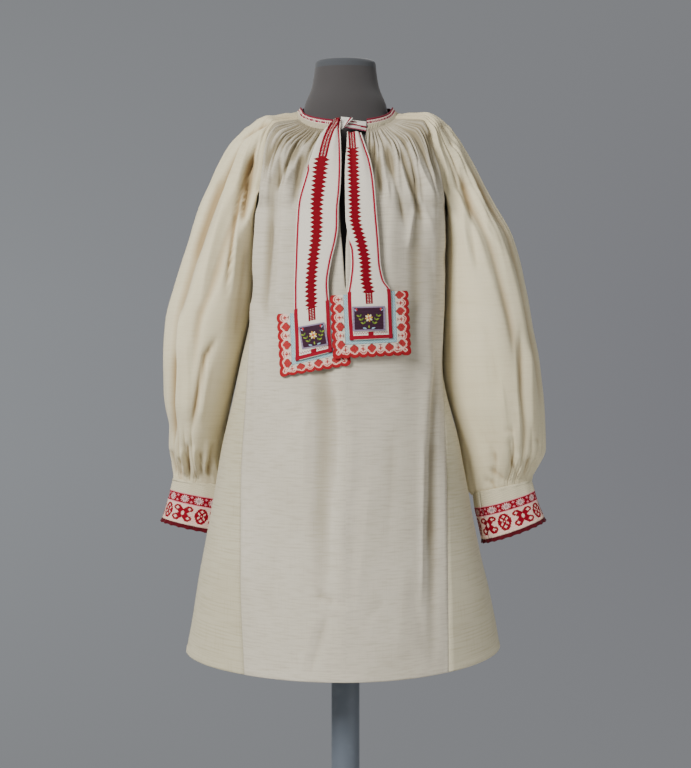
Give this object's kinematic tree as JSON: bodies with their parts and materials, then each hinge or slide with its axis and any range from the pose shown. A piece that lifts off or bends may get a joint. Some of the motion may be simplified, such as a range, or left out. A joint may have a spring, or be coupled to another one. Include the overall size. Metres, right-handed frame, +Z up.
{
  "type": "embroidered folk blouse on a dress form stand",
  "caption": "Long gathered off-white folk blouse with full sleeves, red cross-stitched cuffs and a knotted neck tie with lace ends, worn on a limbless dress form on a pole stand.",
  "frame": {"origin": "middle of the underside of the stand's round base", "axes": "+Z up along the pole, the blouse's front towards -Y, +X to the viewer's right"},
  "size_m": [0.6816, 0.38, 1.523],
  "materials": {
    "linen": "matte",
    "cotton": "matte",
    "woven_band": "matte",
    "red_edging": "matte",
    "braid": "matte",
    "lace": "matte",
    "form_fabric": "matte",
    "stand_paint": "satin"
  },
  "bodies": {
    "root": {"body_front": "linen", "body_back": "linen", "gore_left": "linen", "gore_right": "linen", "neck_band": "linen", "sleeve_left": "cotton", "sleeve_right": "cotton", "cuff_left": "woven_band", "cuff_right": "woven_band", "tie_left": "woven_band", "tie_right": "woven_band", "tie_crossband": "woven_band", "tie_knot": "woven_band", "cuff_edging_left": "red_edging", "cuff_edging_right": "red_edging", "braid_left": "braid", "braid_right": "braid", "lace_left": "lace", "lace_right": "lace", "dress_form": "form_fabric", "stand_base": "stand_paint", "stand_pole": "stand_paint"}
  },
  "joints": []
}
